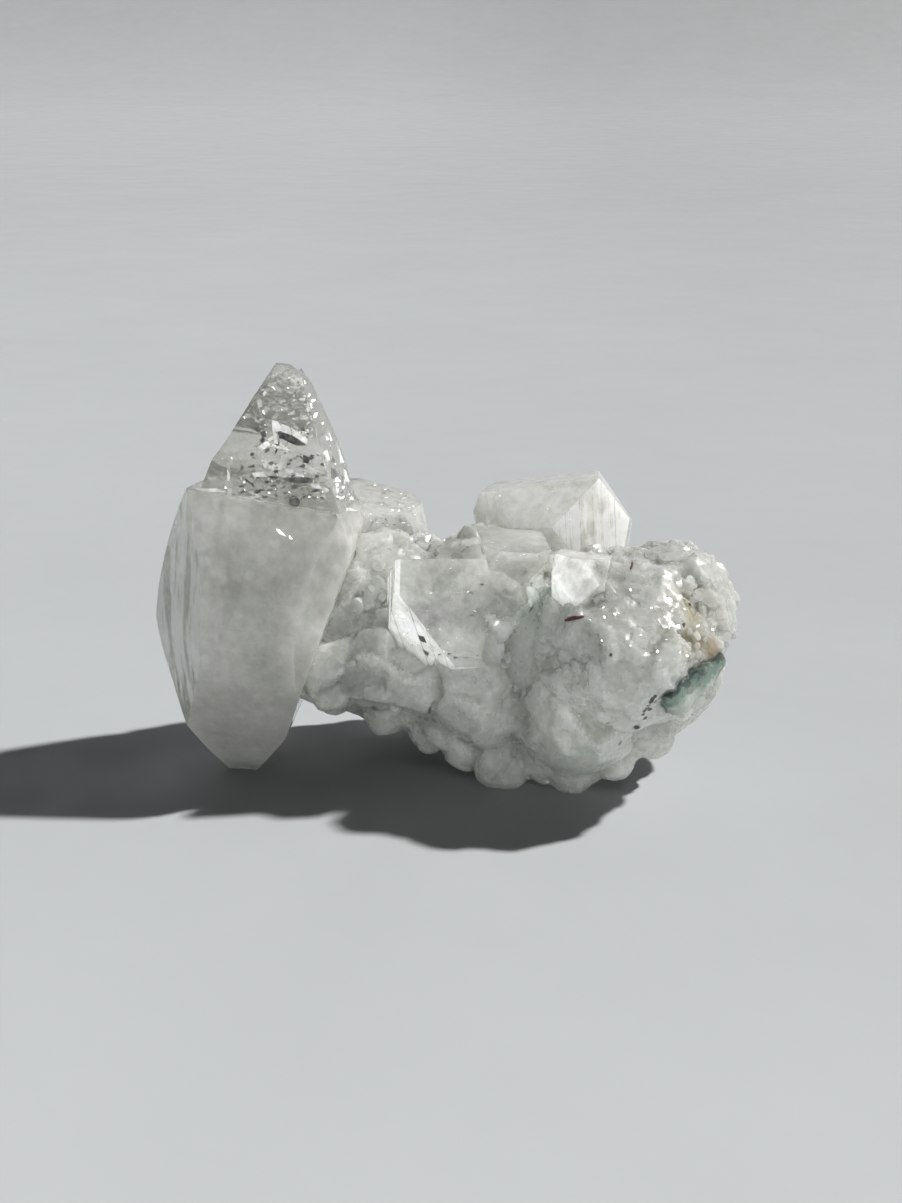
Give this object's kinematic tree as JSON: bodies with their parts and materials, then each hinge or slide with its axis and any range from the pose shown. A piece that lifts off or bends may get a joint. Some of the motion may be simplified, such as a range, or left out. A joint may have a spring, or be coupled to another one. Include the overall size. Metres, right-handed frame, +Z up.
{
  "type": "mineral specimen",
  "caption": "Clear tetragonal crystals on a milky crust of small crystals, with a green stone sliver at one side. It rests on a crystal's tip and the crust's lumps.",
  "frame": {"origin": "middle of the bounding box, on the surface the specimen rests on", "axes": "+Z up, +X along the specimen from the tall crystal to the far end of the crust, -Y towards the viewer of the picture"},
  "size_m": [0.0442, 0.0262, 0.0316],
  "materials": {
    "clear_crystal": "clear, glassy faces with fine growth lines",
    "milky_druse": "milky, sugary, glinting",
    "green_stone": "smooth stone with a dull shine"
  },
  "bodies": {
    "root": {"tall_crystal": "clear_crystal", "rear_left_crystal": "clear_crystal", "rear_crystal": "clear_crystal", "front_crystal": "clear_crystal", "middle_crystal": "clear_crystal", "small_crystal": "clear_crystal", "druse_crust": "milky_druse", "celadonite_sliver": "green_stone"}
  },
  "joints": []
}
